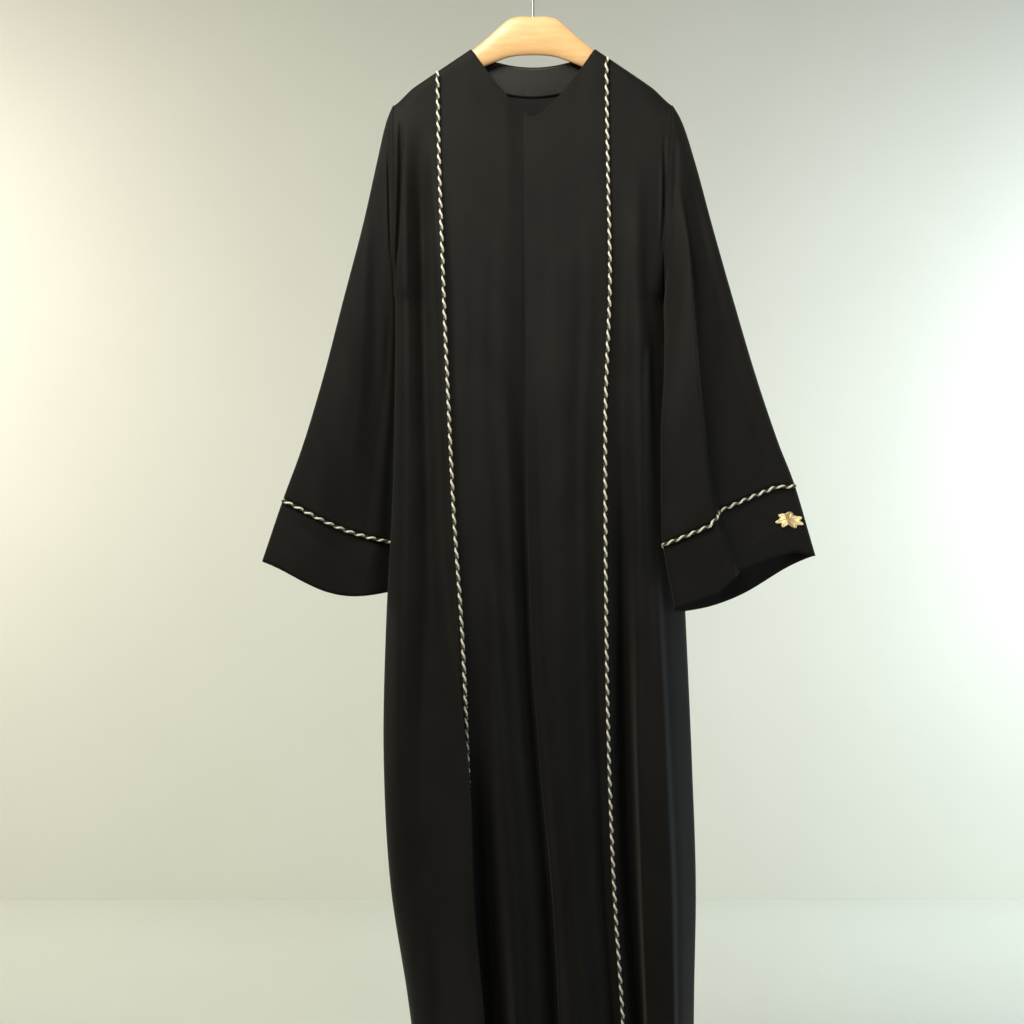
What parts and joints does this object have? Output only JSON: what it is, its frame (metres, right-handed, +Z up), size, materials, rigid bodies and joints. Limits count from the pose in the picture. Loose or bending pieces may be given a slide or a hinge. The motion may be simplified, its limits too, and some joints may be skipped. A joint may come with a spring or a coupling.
{
  "type": "open-front abaya cloak on a hanger",
  "caption": "Long open-front abaya cloak with wide cuffed sleeves and twisted cord trim, hung flat on a wooden hanger with a wire hook.",
  "frame": {"origin": "inside top of the hanger's hook, where a rail holds it", "axes": "+Z up, against the garment's drop; -Y out of the garment's front; +X to the viewer's right, facing the front"},
  "size_m": [0.787, 0.1989, 1.5916],
  "materials": {
    "cloth_black": "soft matt black crepe with a faint sheen",
    "facing_black": "smooth black satin",
    "cord_twist": "two-strand twisted cord, black and cream",
    "gold_trim": "polished gold tone",
    "hanger_wood": "satin varnished light wood",
    "hook_wire": "plated wire"
  },
  "bodies": {
    "root": {"front_left": "cloth_black", "front_right": "cloth_black", "back": "cloth_black", "sleeve_left": "cloth_black", "sleeve_right": "cloth_black", "cuff_left": "cloth_black", "cuff_right": "cloth_black", "neck_facing": "facing_black", "front_cord_left": "cord_twist", "front_cord_right": "cord_twist", "cuff_cord_left": "cord_twist", "cuff_cord_right": "cord_twist", "cuff_ornament": "gold_trim", "hanger_bar": "hanger_wood", "hanger_hook": "hook_wire"}
  },
  "joints": []
}
